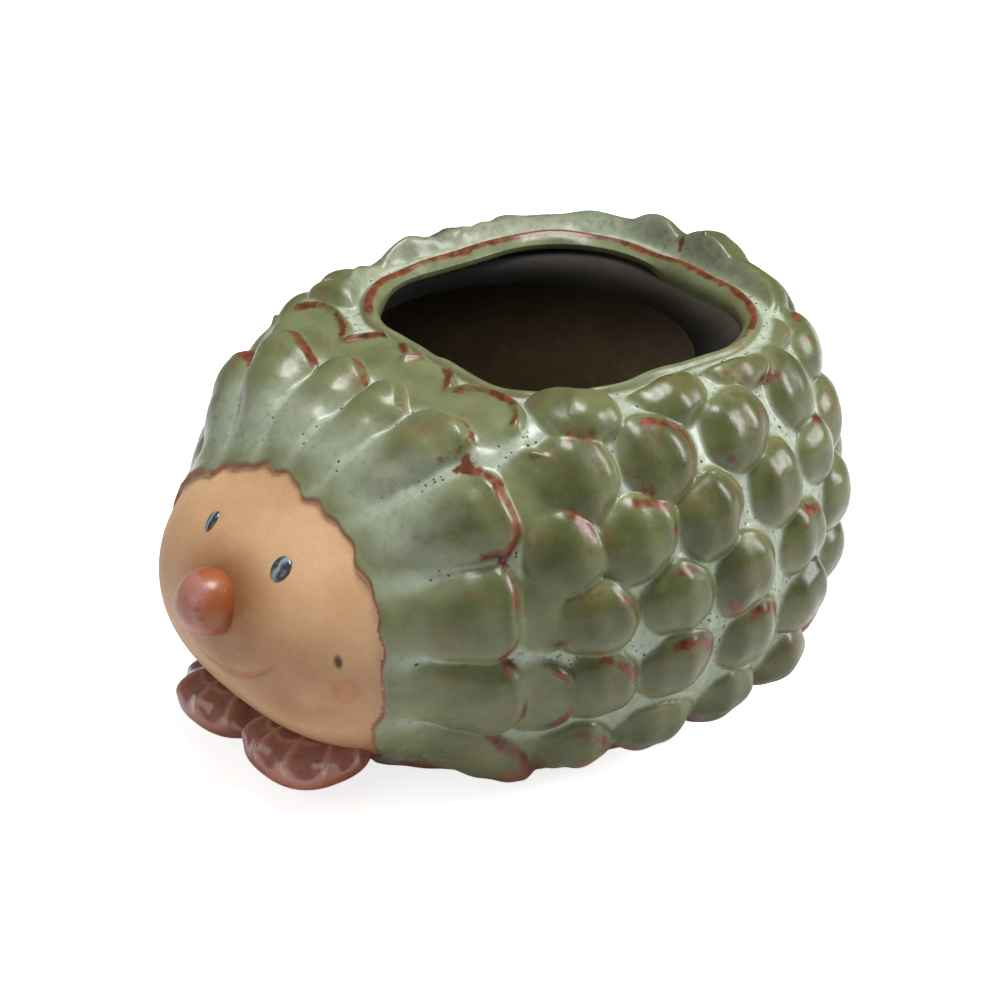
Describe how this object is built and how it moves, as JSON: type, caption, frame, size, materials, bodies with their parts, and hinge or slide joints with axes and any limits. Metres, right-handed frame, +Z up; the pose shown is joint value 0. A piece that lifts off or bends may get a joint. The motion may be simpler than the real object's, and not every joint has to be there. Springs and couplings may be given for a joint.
{
  "type": "animal shaped planter",
  "caption": "Round hedgehog planter in stoneware: a hollow egg body with glazed bobbles and a ruff of petals, a bare clay face, short paws and an open back for a plant.",
  "frame": {"origin": "on the ground under the middle of the overall box, between the tip of the nose and the tail end, in the plane of symmetry", "axes": "+Z up, the face looks along -Y, +X is the animal's left side"},
  "size_m": [0.1544, 0.1974, 0.1085],
  "materials": {
    "sage_glaze": "glossy sage green reactive glaze, pale in the grooves and brown on the edges",
    "grey_green_glaze": "glossy grey green glaze outside, dark brown inside",
    "bare_clay": "bare fired clay, satin",
    "brown_wash": "mauve and rust brown glaze",
    "dark_glaze": "dark grey glaze with a pale streak",
    "rose_brown_glaze": "glossy rose brown glaze"
  },
  "bodies": {
    "root": {"bobble_row_1_left": "sage_glaze", "bobble_row_1_right": "sage_glaze", "bobble_row_2_left": "sage_glaze", "bobble_row_2_right": "sage_glaze", "bobble_row_3_left": "sage_glaze", "bobble_row_3_right": "sage_glaze", "bobble_row_4_left": "sage_glaze", "bobble_row_4_right": "sage_glaze", "bobble_row_5_left": "sage_glaze", "bobble_row_5_right": "sage_glaze", "bobble_row_6_left": "sage_glaze", "bobble_row_6_right": "sage_glaze", "body_shell": "grey_green_glaze", "face": "bare_clay", "left_eye": "dark_glaze", "left_paw": "rose_brown_glaze", "nose": "brown_wash", "right_eye": "dark_glaze", "right_paw": "rose_brown_glaze", "rim_collar": "grey_green_glaze", "ruff_lobe_left_1": "sage_glaze", "ruff_lobe_left_2": "sage_glaze", "ruff_lobe_left_3": "sage_glaze", "ruff_lobe_left_4": "sage_glaze", "ruff_lobe_left_5": "sage_glaze", "ruff_lobe_left_6": "sage_glaze", "ruff_lobe_right_1": "sage_glaze", "ruff_lobe_right_2": "sage_glaze", "ruff_lobe_right_3": "sage_glaze", "ruff_lobe_right_4": "sage_glaze", "ruff_lobe_right_5": "sage_glaze", "ruff_lobe_right_6": "sage_glaze", "ruff_petal_left_1": "sage_glaze", "ruff_petal_left_2": "sage_glaze", "ruff_petal_left_3": "sage_glaze", "ruff_petal_left_4": "sage_glaze", "ruff_petal_left_5": "sage_glaze", "ruff_petal_left_6": "sage_glaze", "ruff_petal_right_1": "sage_glaze", "ruff_petal_right_2": "sage_glaze", "ruff_petal_right_3": "sage_glaze", "ruff_petal_right_4": "sage_glaze", "ruff_petal_right_5": "sage_glaze", "ruff_petal_right_6": "sage_glaze", "tail_bobble_1": "sage_glaze", "tail_bobble_3": "sage_glaze", "tail_bobble_5": "sage_glaze"}
  },
  "joints": []
}
